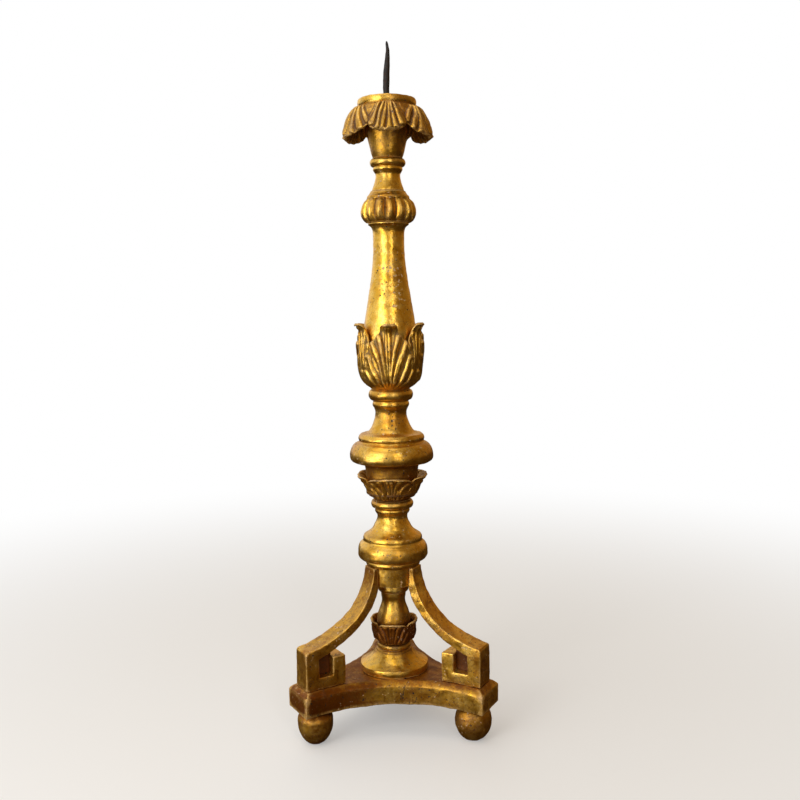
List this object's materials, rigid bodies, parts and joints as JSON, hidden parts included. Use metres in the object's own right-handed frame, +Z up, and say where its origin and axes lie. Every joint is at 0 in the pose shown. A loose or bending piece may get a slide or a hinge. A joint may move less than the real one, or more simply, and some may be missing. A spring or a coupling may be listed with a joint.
{
  "type": "torchere candle stand",
  "caption": "Tall giltwood candle stand: turned and carved column, scrolled bracket legs on a hollow-sided plinth with ball feet, drooping leaf crown and iron pricket.",
  "frame": {"origin": "middle of the footprint on the floor; the column's axis is 26.4 mm in front of it, because the back corner of the plinth reaches further than the two front ones", "axes": "+Z up along the column, -Y towards the viewer, +X to the viewer's right; one leg points straight back along +Y"},
  "size_m": [0.2992, 0.2592, 0.988],
  "materials": {
    "gilded_wood": "burnished water gilding over gesso on wood, worn",
    "worn_gilding": "rubbed gilding with reddish clay and dirt in the hollows",
    "bare_wood": "plain unfinished wood, hidden",
    "forged_iron": "dark forged iron with brown rust"
  },
  "bodies": {
    "root": {"plinth_board": "gilded_wood", "ball_foot_back": "worn_gilding", "ball_foot_front_left": "worn_gilding", "ball_foot_front_right": "worn_gilding", "bracket_leg_back": "gilded_wood", "bracket_leg_front_left": "gilded_wood", "bracket_leg_front_right": "gilded_wood", "leg_dowel_back": "bare_wood", "leg_dowel_front_left": "bare_wood", "leg_dowel_front_right": "bare_wood", "base_bell": "gilded_wood", "lower_leaf_cup": "worn_gilding", "lower_stem": "gilded_wood", "tripod_hub": "gilded_wood", "lower_knop": "gilded_wood", "small_leaf_cup": "worn_gilding", "upper_knop": "gilded_wood", "main_leaf_cup": "gilded_wood", "tapered_shaft": "gilded_wood", "gadrooned_knop": "gilded_wood", "upper_neck": "gilded_wood", "cup_cone": "gilded_wood", "leaf_crown": "gilded_wood", "cup_rim": "gilded_wood", "pricket_spike": "forged_iron"}
  },
  "joints": []
}
